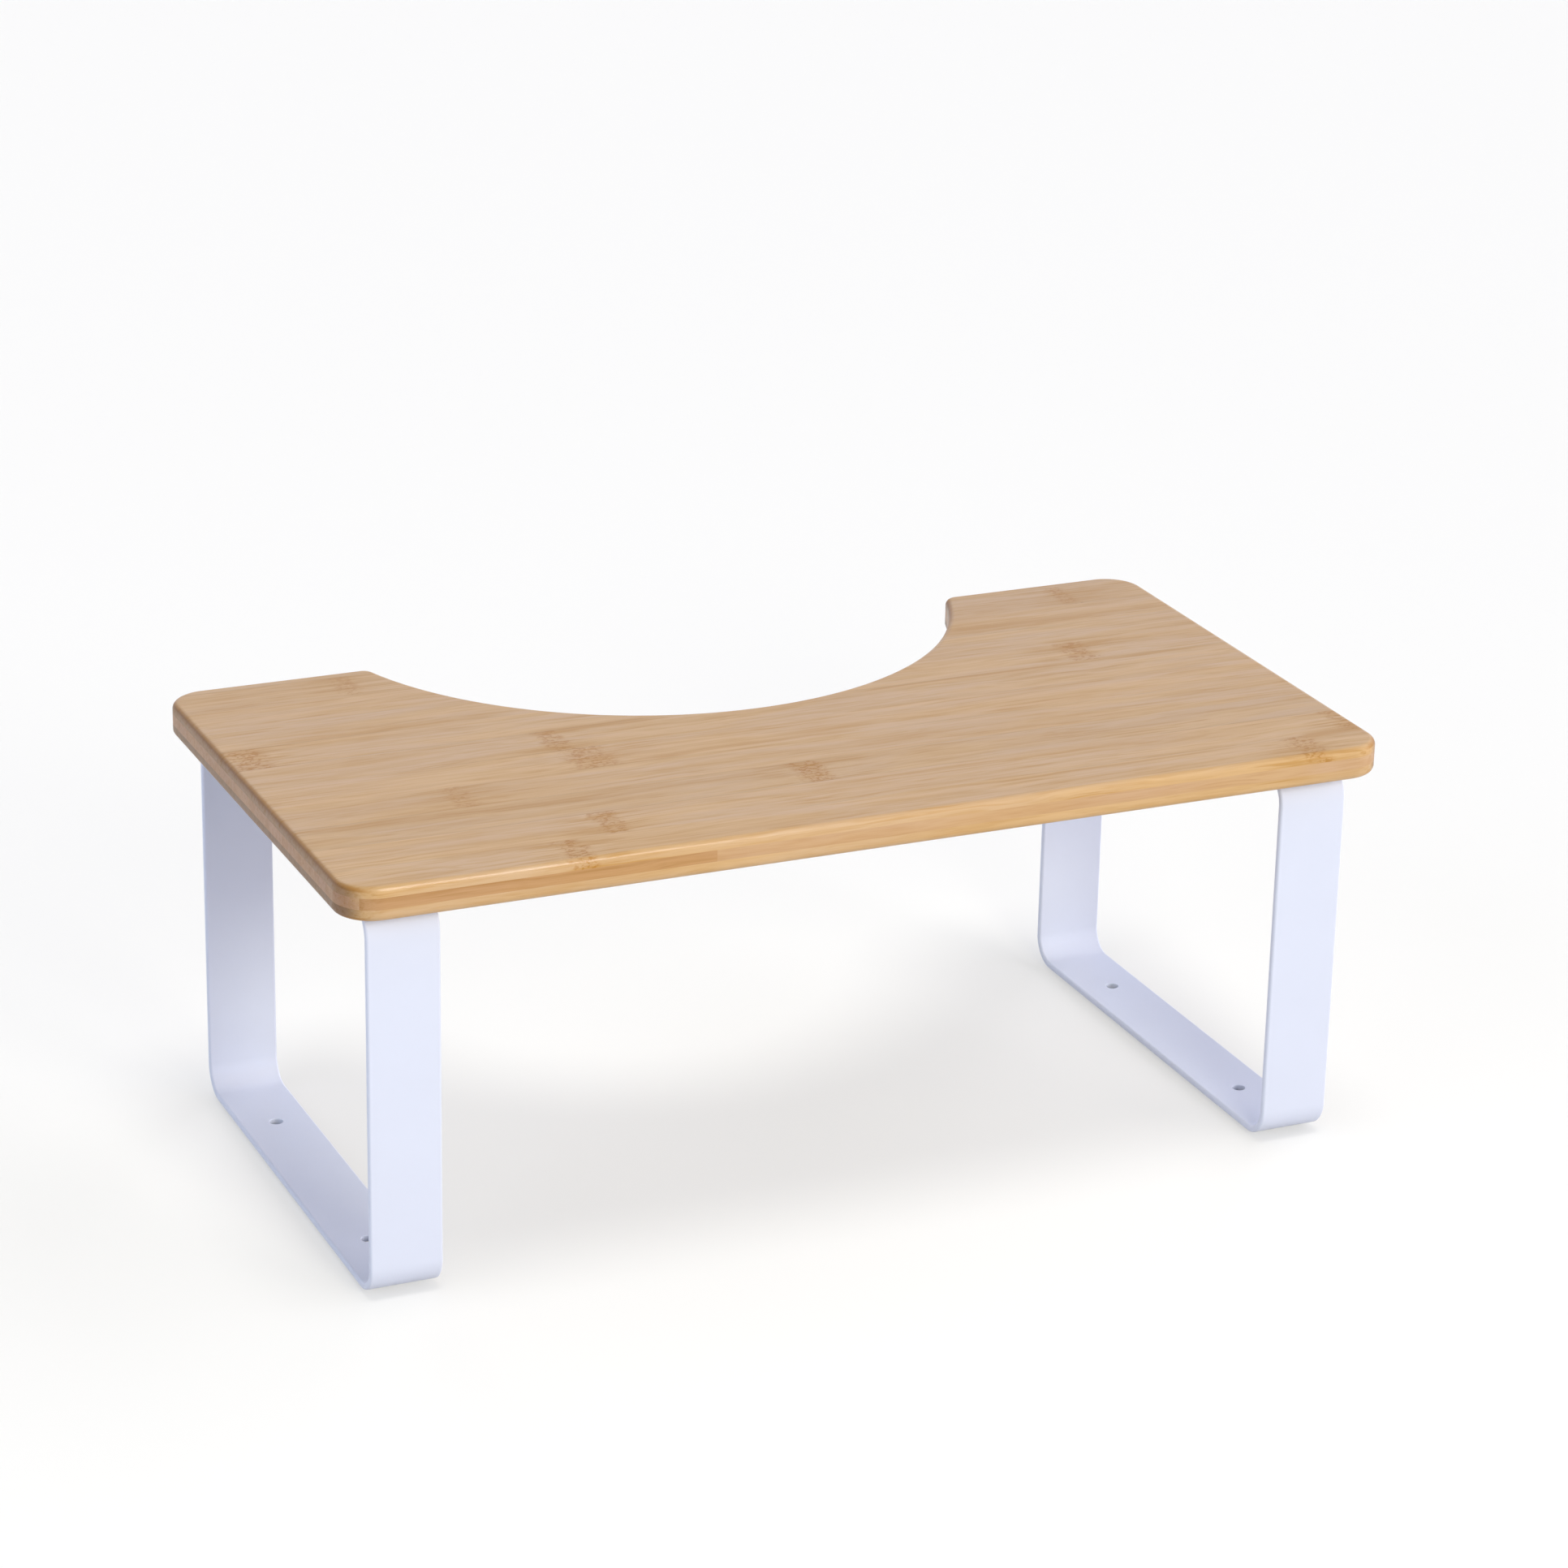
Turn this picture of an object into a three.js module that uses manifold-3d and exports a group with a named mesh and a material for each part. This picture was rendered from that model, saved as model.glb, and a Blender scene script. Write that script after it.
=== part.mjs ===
import * as THREE from 'three';
import { mergeVertices } from 'three/addons/utils/BufferGeometryUtils.js';
import Module from 'manifold-3d';

// Toilet footstool: a three-ply bamboo board, cut out at the back to go round a
// pedestal, on two closed frames of bent flat bar that stand on thin pads.
// Millimetres, +Z up, front towards -Y, origin on the floor below the middle.

// Board and its three plies
const boardWidth = 480;
const boardDepth = 250;
const topPlyThickness = 4.5;
const corePlyThickness = 5;
const bottomPlyThickness = 5.5;
const boardCornerRadius = 17;
const boardEdgeRadius = 3;

// Cut-out: an arc about a point behind the back edge, ending in two rounded horns
const cutoutRadius = 150;
const cutoutCentreBehind = 42;
const hornRadius = 6;

// Core: rows of staves from front to back. The front row is butted from three lengths,
// and the rows that the cut-out goes into are butted in the middle.
const coreRows = 10;
const wholeRows = 5;
const frontOffcutLength = 7;
const frontDarkLength = 154;

// Frames: flat bar bent on edge radii into a ring, with insets from the board's edges
const barWidth = 32;
const barThickness = 3;
const barEdgeRadius = 0.7;
const bendRadius = 14;
const frameHeight = 175;
const frameEndInset = 13;
const frameFrontInset = 13;
const frameBackInset = 11;
const driverHoleDiameter = 6;

// Pan-head wood screws through the top rails
const screwSpacing = 126;
const screwLength = 12;
const screwDiameter = 4;
const screwTipDiameter = 1.2;
const screwPointLength = 2.5;
const screwHeadDiameter = 8;
const screwHeadHeight = 2.4;
const screwRimHeight = 0.8;
const driveLength = 4.4;
const driveWidth = 1.1;
const driveDepth = 1.5;
const screwClearance = 0.3;

// Pads under the bottom rails
const padLength = 24;
const padWidth = 20;
const padThickness = 1.5;
const padCornerRadius = 4;
const padSetback = 3;

// Every cut runs past the faces that it opens by this much
const overrun = 5;

// Steps along each round stretch
const cornerSteps = 10;
const hornSteps = 7;
const cutoutSteps = 46;
const edgeSteps = 4;
const bendSteps = 9;
const barEdgeSteps = 2;
const holeSides = 24;
const screwSides = 20;
const domeSteps = 5;

const quarterTurn = Math.PI / 2;
const boardThickness = bottomPlyThickness + corePlyThickness + topPlyThickness;
const boardLeft = -boardWidth / 2;
const boardRight = boardWidth / 2;
const boardFront = -boardDepth / 2;
const boardBack = boardDepth / 2;
const coreBottom = bottomPlyThickness;
const coreTop = bottomPlyThickness + corePlyThickness;
const cutoutCentreY = boardBack + cutoutCentreBehind;

const frameX = boardWidth / 2 - frameEndInset - barWidth / 2;
const frameFront = boardFront + frameFrontInset;
const frameBack = boardBack - frameBackInset;
const frameMiddleY = (frameFront + frameBack) / 2;
const sides = [{ name: 'left', x: -frameX }, { name: 'right', x: frameX }];
const screwPlaces = [
  { name: 'front', y: frameMiddleY - screwSpacing / 2 },
  { name: 'back', y: frameMiddleY + screwSpacing / 2 },
];

const bamboo = new THREE.MeshStandardMaterial({ color: 0xd3ad7c, roughness: 0.42, metalness: 0 });
const darkBamboo = new THREE.MeshStandardMaterial({ color: 0xc49358, roughness: 0.5, metalness: 0 });
const coreBamboo = new THREE.MeshStandardMaterial({ color: 0xd8b17f, roughness: 0.5, metalness: 0 });
const powderCoat = new THREE.MeshStandardMaterial({ color: 0xe6ebf8, roughness: 0.35, metalness: 0 });
const zinc = new THREE.MeshStandardMaterial({ color: 0xb9bcc0, roughness: 0.3, metalness: 1 });
const padFoam = new THREE.MeshStandardMaterial({ color: 0xd6d7d9, roughness: 0.8, metalness: 0 });

const wasm = await Module();
wasm.setup();

// A closed geometry as a solid, without the slivers that a revolve leaves on its axis
function toSolid(geometry) {
  const bare = geometry.clone();
  bare.deleteAttribute('normal');
  bare.deleteAttribute('uv');
  const merged = mergeVertices(bare);
  const corners = merged.index.array;
  const triVerts = [];
  for (let i = 0; i < corners.length; i += 3) {
    const [a, b, c] = corners.slice(i, i + 3);
    if (a !== b && b !== c && c !== a) triVerts.push(a, b, c);
  }
  return new wasm.Manifold(new wasm.Mesh({
    numProp: 3,
    vertProperties: new Float32Array(merged.attributes.position.array),
    triVerts: new Uint32Array(triVerts),
  }));
}

function toGeometry(solid) {
  const { vertProperties, triVerts } = solid.getMesh();
  const geometry = new THREE.BufferGeometry();
  geometry.setAttribute('position', new THREE.BufferAttribute(vertProperties, 3));
  geometry.setIndex(new THREE.BufferAttribute(triVerts, 1));
  geometry.computeVertexNormals();
  return geometry;
}

function addPiece(group, name, geometry, material) {
  const piece = new THREE.Mesh(geometry, material);
  piece.name = name;
  group.add(piece);
  return piece;
}

// Points along an arc, both ends included
function arc(x, y, radius, from, to, steps) {
  const points = [];
  for (let i = 0; i <= steps; i += 1) {
    const angle = from + ((to - from) * i) / steps;
    points.push(new THREE.Vector2(x + radius * Math.cos(angle), y + radius * Math.sin(angle)));
  }
  return points;
}

// A rectangle about the origin with rounded corners
function roundedRectangle(width, height, radius, steps) {
  const x = width / 2 - radius;
  const y = height / 2 - radius;
  return [
    ...arc(x, -y, radius, -quarterTurn, 0, steps),
    ...arc(x, y, radius, 0, quarterTurn, steps),
    ...arc(-x, y, radius, quarterTurn, 2 * quarterTurn, steps),
    ...arc(-x, -y, radius, 2 * quarterTurn, 3 * quarterTurn, steps),
  ];
}

function boxBetween(low, high) {
  const size = new THREE.Vector3().subVectors(high, low);
  const middle = new THREE.Vector3().addVectors(low, high).multiplyScalar(1 / 2);
  const box = new THREE.BoxGeometry(size.x, size.y, size.z);
  return toSolid(box.translate(middle.x, middle.y, middle.z));
}

function uprightHole(x, y, bottom, top, diameter) {
  const hole = new THREE.CylinderGeometry(diameter / 2, diameter / 2, top - bottom, holeSides);
  hole.rotateX(quarterTurn);
  return toSolid(hole.translate(x, y, (bottom + top) / 2));
}

// Board outline, anticlockwise from the front left corner. Each horn's small arc
// touches the back edge and the cut-out arc.
function boardOutline() {
  const cornerX = boardRight - boardCornerRadius;
  const cornerFrontY = boardFront + boardCornerRadius;
  const cornerBackY = boardBack - boardCornerRadius;
  const hornY = boardBack - hornRadius;
  const hornX = Math.sqrt((cutoutRadius + hornRadius) ** 2 - (cutoutCentreY - hornY) ** 2);
  const touch = Math.atan2(cutoutCentreY - hornY, hornX);
  const cutout = arc(0, cutoutCentreY, cutoutRadius, -touch, touch - Math.PI, cutoutSteps);
  return [
    ...arc(-cornerX, cornerFrontY, boardCornerRadius, -2 * quarterTurn, -quarterTurn, cornerSteps),
    ...arc(cornerX, cornerFrontY, boardCornerRadius, -quarterTurn, 0, cornerSteps),
    ...arc(cornerX, cornerBackY, boardCornerRadius, 0, quarterTurn, cornerSteps),
    ...arc(hornX, hornY, hornRadius, quarterTurn, Math.PI - touch, hornSteps),
    ...cutout.slice(1, -1),
    ...arc(-hornX, hornY, hornRadius, touch, quarterTurn, hornSteps),
    ...arc(-cornerX, cornerBackY, boardCornerRadius, quarterTurn, 2 * quarterTurn, cornerSteps),
  ];
}

// The glued-up board as it is milled: outline, rounded edges and screw holes at once
function boardBlank() {
  const blank = new THREE.ExtrudeGeometry(new THREE.Shape(boardOutline()), {
    depth: boardThickness - 2 * boardEdgeRadius,
    bevelThickness: boardEdgeRadius,
    bevelSize: boardEdgeRadius,
    bevelOffset: -boardEdgeRadius,
    bevelSegments: edgeSteps,
  });
  let solid = toSolid(blank.translate(0, 0, boardEdgeRadius));
  const holeTop = screwLength - barThickness + screwClearance;
  for (const { x } of sides) {
    for (const { y } of screwPlaces) {
      solid = solid.subtract(uprightHole(x, y, -overrun, holeTop, screwDiameter + 2 * screwClearance));
    }
  }
  return solid;
}

function cutFromBlank(blank, low, high) {
  return toGeometry(blank.intersect(boxBetween(low, high)));
}

function addFacePlies(board, blank) {
  const left = boardLeft - overrun;
  const right = boardRight + overrun;
  const front = boardFront - overrun;
  const back = boardBack + overrun;
  const bottomPly = cutFromBlank(
    blank,
    new THREE.Vector3(left, front, -overrun),
    new THREE.Vector3(right, back, coreBottom),
  );
  const topPly = cutFromBlank(
    blank,
    new THREE.Vector3(left, front, coreTop),
    new THREE.Vector3(right, back, boardThickness + overrun),
  );
  addPiece(board, 'bottom_ply', bottomPly, bamboo);
  addPiece(board, 'top_ply', topPly, bamboo);
}

// Lengths of one core row, from left to right
function rowLengths(row) {
  const left = boardLeft - overrun;
  const right = boardRight + overrun;
  if (row === 1) {
    const offcutEnd = boardLeft + frontOffcutLength;
    const darkEnd = offcutEnd + frontDarkLength;
    return [
      { name: 'core_stave_1_offcut', from: left, to: offcutEnd, material: coreBamboo },
      { name: 'core_stave_1_dark', from: offcutEnd, to: darkEnd, material: darkBamboo },
      { name: 'core_stave_1_long', from: darkEnd, to: right, material: coreBamboo },
    ];
  }
  if (row <= wholeRows) {
    return [{ name: `core_stave_${row}`, from: left, to: right, material: coreBamboo }];
  }
  return [
    { name: `core_stave_${row}_left`, from: left, to: 0, material: coreBamboo },
    { name: `core_stave_${row}_right`, from: 0, to: right, material: coreBamboo },
  ];
}

function addCoreStaves(board, blank) {
  const rowDepth = boardDepth / coreRows;
  for (let row = 1; row <= coreRows; row += 1) {
    const rowFront = boardFront + (row - 1) * rowDepth;
    const rowBack = boardFront + row * rowDepth;
    for (const { name, from, to, material } of rowLengths(row)) {
      const stave = cutFromBlank(
        blank,
        new THREE.Vector3(from, rowFront, coreBottom),
        new THREE.Vector3(to, rowBack, coreTop),
      );
      addPiece(board, name, stave, material);
    }
  }
}

// The bar's section goes round a ring of four bends; the straights lie between them.
// A section point has x across the bar and y from its middle towards the outside.
function bentBar() {
  const section = roundedRectangle(barWidth, barThickness, barEdgeRadius, barEdgeSteps);
  const bendY = (frameBack - frameFront) / 2 - bendRadius;
  const bendZ = frameHeight / 2 - bendRadius;
  const bends = [[bendY, bendZ], [-bendY, bendZ], [-bendY, -bendZ], [bendY, -bendZ]];
  const positions = [];
  bends.forEach(([y, z], bend) => {
    for (let i = 0; i <= bendSteps; i += 1) {
      const angle = (bend + i / bendSteps) * quarterTurn;
      for (const point of section) {
        const radius = bendRadius - barThickness / 2 + point.y;
        positions.push(point.x, y + radius * Math.cos(angle), z + radius * Math.sin(angle));
      }
    }
  });
  const stations = bends.length * (bendSteps + 1);
  const index = [];
  for (let station = 0; station < stations; station += 1) {
    const here = station * section.length;
    const next = ((station + 1) % stations) * section.length;
    for (let i = 0; i < section.length; i += 1) {
      const j = (i + 1) % section.length;
      index.push(here + i, here + j, next + j);
      index.push(here + i, next + j, next + i);
    }
  }
  const geometry = new THREE.BufferGeometry();
  geometry.setAttribute('position', new THREE.BufferAttribute(new Float32Array(positions), 3));
  geometry.setIndex(index);
  return geometry.translate(0, frameMiddleY, -frameHeight / 2);
}

// Screw holes in the top rail, and holes right below them that let a driver through
function frameGeometry() {
  const screwHole = screwDiameter + 2 * screwClearance;
  const railTop = barThickness - frameHeight;
  let solid = toSolid(bentBar());
  for (const { y } of screwPlaces) {
    const upper = uprightHole(0, y, -barThickness - overrun, overrun, screwHole);
    const lower = uprightHole(0, y, -frameHeight - overrun, railTop + overrun, driverHoleDiameter);
    solid = solid.subtract(upper).subtract(lower);
  }
  return toGeometry(solid);
}

// Screw with its head's seat at height zero, the point up and a cross recess below
function screwGeometry() {
  const rim = screwHeadDiameter / 2;
  const shank = screwDiameter / 2;
  const domeHeight = screwHeadHeight - screwRimHeight;
  const profile = [];
  for (let i = 0; i <= domeSteps; i += 1) {
    const angle = (i / domeSteps) * quarterTurn;
    const radius = i === 0 ? 0 : rim * Math.sin(angle);
    profile.push(new THREE.Vector2(radius, -screwRimHeight - domeHeight * Math.cos(angle)));
  }
  profile.push(new THREE.Vector2(rim, 0));
  profile.push(new THREE.Vector2(shank, 0));
  profile.push(new THREE.Vector2(shank, screwLength - screwPointLength));
  profile.push(new THREE.Vector2(screwTipDiameter / 2, screwLength));
  profile.push(new THREE.Vector2(0, screwLength));
  const turned = new THREE.LatheGeometry(profile, screwSides).rotateX(quarterTurn);
  let solid = toSolid(turned);
  const recessBottom = -screwHeadHeight - overrun;
  const recessTop = driveDepth - screwHeadHeight;
  for (const [x, y] of [[driveLength, driveWidth], [driveWidth, driveLength]]) {
    const low = new THREE.Vector3(-x / 2, -y / 2, recessBottom);
    const high = new THREE.Vector3(x / 2, y / 2, recessTop);
    solid = solid.subtract(boxBetween(low, high));
  }
  return toGeometry(solid);
}

function padGeometry() {
  const outline = roundedRectangle(padWidth, padLength, padCornerRadius, cornerSteps);
  return new THREE.ExtrudeGeometry(new THREE.Shape(outline), { depth: padThickness, bevelEnabled: false });
}

// Each frame hangs below the board's underside, which is height zero here
function addFrames(stand) {
  const frame = frameGeometry();
  const screw = screwGeometry();
  for (const side of sides) {
    addPiece(stand, `${side.name}_frame`, frame, powderCoat).position.x = side.x;
    for (const place of screwPlaces) {
      const piece = addPiece(stand, `${side.name}_${place.name}_screw`, screw, zinc);
      piece.position.set(side.x, place.y, -barThickness);
    }
  }
}

// The pads lie clear of the bends and of the driver holes
function addPads(stand) {
  const pad = padGeometry();
  const fromEnd = bendRadius + padSetback + padLength / 2;
  const places = [
    { name: 'front', y: frameFront + fromEnd },
    { name: 'back', y: frameBack - fromEnd },
  ];
  for (const side of sides) {
    for (const place of places) {
      const piece = addPiece(stand, `${side.name}_${place.name}_pad`, pad, padFoam);
      piece.position.set(side.x, place.y, -frameHeight - padThickness);
    }
  }
}

const stool = new THREE.Group();
stool.name = 'toilet_footstool';
stool.position.z = padThickness + frameHeight;
const board = new THREE.Group();
const stand = new THREE.Group();
stool.add(board, stand);

const blank = boardBlank();
addFacePlies(board, blank);
addCoreStaves(board, blank);
addFrames(stand);
addPads(stand);

export default stool;
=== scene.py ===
"""Looks of the toilet footstool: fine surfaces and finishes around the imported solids.

Metres, +Z up, front towards -Y, origin on the floor below the middle of the stool.
"""

import math

import bmesh
import bpy
from mathutils import Matrix, Vector


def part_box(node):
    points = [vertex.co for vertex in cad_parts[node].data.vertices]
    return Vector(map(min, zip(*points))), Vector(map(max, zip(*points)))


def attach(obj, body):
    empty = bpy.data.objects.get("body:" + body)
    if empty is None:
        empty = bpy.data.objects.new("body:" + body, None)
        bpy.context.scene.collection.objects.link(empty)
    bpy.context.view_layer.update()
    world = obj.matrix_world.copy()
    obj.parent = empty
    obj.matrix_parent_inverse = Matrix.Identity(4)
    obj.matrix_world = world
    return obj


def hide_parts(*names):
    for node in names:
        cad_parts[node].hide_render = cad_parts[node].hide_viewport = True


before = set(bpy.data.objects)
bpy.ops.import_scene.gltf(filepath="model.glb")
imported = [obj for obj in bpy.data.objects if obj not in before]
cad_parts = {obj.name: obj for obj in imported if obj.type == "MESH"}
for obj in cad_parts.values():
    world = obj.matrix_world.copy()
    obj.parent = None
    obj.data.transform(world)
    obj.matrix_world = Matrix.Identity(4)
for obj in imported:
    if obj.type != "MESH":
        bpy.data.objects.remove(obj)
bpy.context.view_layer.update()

# Board: the outline's radii and the rounded edge
CORNER_RADIUS = 0.017
EDGE_RADIUS = 0.003
CUTOUT_RADIUS = 0.150
CUTOUT_CENTRE_BEHIND = 0.042
HORN_RADIUS = 0.006
CORE_ROWS = 10

# Face plies: width of a stave, and the first seam from the front
FACE_STAVE = 0.0246
FIRST_SEAM = -0.103

# Frames: flat bar, bent on this outside radius, with soft edges under the coat
BAR_THICKNESS = 0.003
BAR_EDGE_RADIUS = 0.0011
BEND_RADIUS = 0.014
SCREW_HOLE_RADIUS = 0.0023
TIP_CLEARANCE = 0.0003
DRIVER_HOLE_RADIUS = 0.003
HOLE_EDGE_RADIUS = 0.0003

# Screws: pan head with a cross recess, and a threaded shank with a point
HEAD_RADIUS = 0.004
HEAD_HEIGHT = 0.0024
RIM_HEIGHT = 0.0008
RIM_ROUNDING = 0.00015
ROOT_RADIUS = 0.00145
THREAD_DEPTH = 0.00055
THREAD_PITCH = 0.0016
THREAD_START = 0.0012
THREAD_STEEPNESS = 2.2
POINT_LENGTH = 0.0025
TIP_RADIUS = 0.0003
DRIVE_ARMS = 4
DRIVE_LENGTH = 0.0044
DRIVE_WIDTH = 0.0011
DRIVE_DEPTH = 0.0015
DRIVE_TAPER_SHARE = 0.6

# Pads under the bottom rails
PAD_CORNER_RADIUS = 0.004
PAD_EDGE_RADIUS = 0.0004

# Every cut runs past the faces that it opens by this much
OVERRUN = 0.003

# Points of a mesh that are nearer to each other than this are one
SAME_POINT = 1e-7

# Steps along each round stretch
CORNER_STEPS = 24
HORN_STEPS = 14
CUTOUT_STEPS = 110
EDGE_STEPS = 8
BEND_STEPS = 24
BAR_EDGE_STEPS = 5
HOLE_STEPS = 48
HOLE_EDGE_STEPS = 4
SCREW_SIDES = 40
DOME_STEPS = 8
TURNS_STEPS = 14
PAD_STEPS = 10
PAD_EDGE_STEPS = 4

QUARTER = math.pi / 2
SMOOTH_UP_TO = math.radians(40)
ALONG_X = 0
ALONG_Y = 1

board_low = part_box("bottom_ply")[0]
board_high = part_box("top_ply")[1]
core_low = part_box("bottom_ply")[1].z
core_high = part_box("top_ply")[0].z
SIDES = ("left", "right")
ENDS = ("front", "back")
CORE_STAVE = (board_high.y - board_low.y) / CORE_ROWS

# The board's pieces, which are the ones that mirror the panel
lacquered = bpy.data.collections.new("lacquered")


def arc(x, y, radius, start, end, steps):
    """Points along an arc, both ends included."""
    angles = [start + (end - start) * i / steps for i in range(steps + 1)]
    return [(x + radius * math.cos(a), y + radius * math.sin(a)) for a in angles]


def quarter_turn(steps):
    """Angles from nothing to a right angle, both included."""
    return [i / steps * QUARTER for i in range(steps + 1)]


def rounded_rectangle(width, height, radius, steps):
    """A rectangle about the origin with rounded corners, anticlockwise."""
    x = width / 2 - radius
    y = height / 2 - radius
    centres = [(x, -y), (x, y), (-x, y), (-x, -y)]
    points = []
    for turn, (cx, cy) in enumerate(centres):
        points += arc(cx, cy, radius, (turn - 1) * QUARTER, turn * QUARTER, steps)
    return points


def board_outline(inset):
    """The board's outline, drawn in by the inset. Each horn touches the back edge and the cut-out."""
    cutout_y = board_high.y + CUTOUT_CENTRE_BEHIND
    horn_y = board_high.y - HORN_RADIUS
    horn_x = math.sqrt((CUTOUT_RADIUS + HORN_RADIUS) ** 2 - (cutout_y - horn_y) ** 2)
    touch = math.atan2(cutout_y - horn_y, horn_x)
    corner = CORNER_RADIUS - inset
    horn = HORN_RADIUS - inset
    right = board_high.x - CORNER_RADIUS
    left = board_low.x + CORNER_RADIUS
    front = board_low.y + CORNER_RADIUS
    back = board_high.y - CORNER_RADIUS
    cutout = arc(0, cutout_y, CUTOUT_RADIUS + inset, -touch, touch - math.pi, CUTOUT_STEPS)
    return [
        *arc(left, front, corner, -2 * QUARTER, -QUARTER, CORNER_STEPS),
        *arc(right, front, corner, -QUARTER, 0, CORNER_STEPS),
        *arc(right, back, corner, 0, QUARTER, CORNER_STEPS),
        *arc(horn_x, horn_y, horn, QUARTER, math.pi - touch, HORN_STEPS),
        *cutout[1:-1],
        *arc(-horn_x, horn_y, horn, touch, QUARTER, HORN_STEPS),
        *arc(left, back, corner, QUARTER, 2 * QUARTER, CORNER_STEPS),
    ]


def edge_inset(height):
    """How far the rounded edge has drawn in at a height of the board."""
    depth = min(height - board_low.z, board_high.z - height)
    if depth >= EDGE_RADIUS:
        return 0.0
    return EDGE_RADIUS - math.sqrt(EDGE_RADIUS**2 - (EDGE_RADIUS - max(depth, 0)) ** 2)


def clip(points, axis, limit, keep_above):
    """The part of a closed outline on one side of a line along X or Y."""
    sign = 1 if keep_above else -1
    kept = []
    for here, there in zip(points, points[1:] + points[:1]):
        a = sign * (here[axis] - limit)
        b = sign * (there[axis] - limit)
        if a >= 0:
            kept.append(here)
        if a * b < 0:
            share = a / (a - b)
            kept.append(tuple(h + (t - h) * share for h, t in zip(here, there)))
    return kept


def new_piece(name, mesh_points, faces):
    """A mesh object with its faces turned outwards."""
    mesh = bpy.data.meshes.new(name)
    mesh.from_pydata(mesh_points, [], faces)
    work = bmesh.new()
    work.from_mesh(mesh)
    bmesh.ops.remove_doubles(work, verts=work.verts, dist=SAME_POINT)
    bmesh.ops.recalc_face_normals(work, faces=work.faces)
    work.to_mesh(mesh)
    work.free()
    piece = bpy.data.objects.new(name, mesh)
    bpy.context.scene.collection.objects.link(piece)
    return piece


def loft(name, rings, ring_closed=False):
    """A skin through rings of equal counts: capped at both ends, or closed on itself."""
    count = len(rings[0])
    faces = []
    spans = len(rings) if ring_closed else len(rings) - 1
    for r in range(spans):
        here = r * count
        there = (r + 1) % len(rings) * count
        for i in range(count):
            j = (i + 1) % count
            faces.append((here + i, here + j, there + j, there + i))
    if not ring_closed:
        faces.append(tuple(range(count)))
        faces.append(tuple(range((len(rings) - 1) * count, len(rings) * count)))
    return new_piece(name, [point for ring in rings for point in ring], faces)


def cut(piece, cutter):
    """Takes the cutter's shape out of a piece, and deletes the cutter."""
    modifier = piece.modifiers.new("cut", "BOOLEAN")
    modifier.operation = "DIFFERENCE"
    modifier.solver = "EXACT"
    modifier.object = cutter
    depsgraph = bpy.context.evaluated_depsgraph_get()
    mesh = bpy.data.meshes.new_from_object(piece.evaluated_get(depsgraph))
    piece.modifiers.remove(modifier)
    uncut = piece.data
    piece.data = mesh
    bpy.data.meshes.remove(uncut)
    bpy.data.objects.remove(cutter)


def dress(piece, node, slot, material):
    """Smooths a piece, gives it its material, and puts it in the place of its solid."""
    piece.data.name = piece.name
    piece.data.materials.clear()
    piece.data.materials.append(material)
    piece.data.polygons.foreach_set("use_smooth", [True] * len(piece.data.polygons))
    piece.data.set_sharp_from_angle(angle=SMOOTH_UP_TO)
    weighted = piece.modifiers.new("weighted_normals", "WEIGHTED_NORMAL")
    weighted.keep_sharp = True
    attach(piece, "root")
    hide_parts(node)
    if slot.startswith("board"):
        lacquered.objects.link(piece)


# A mix node has number and vector sockets of the same names, so its colours go by place
MIX_FIRST = 6
MIX_SECOND = 7
MIX_RESULT = 2

# The middle of a noise's values
NOISE_MIDDLE = 0.5


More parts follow.
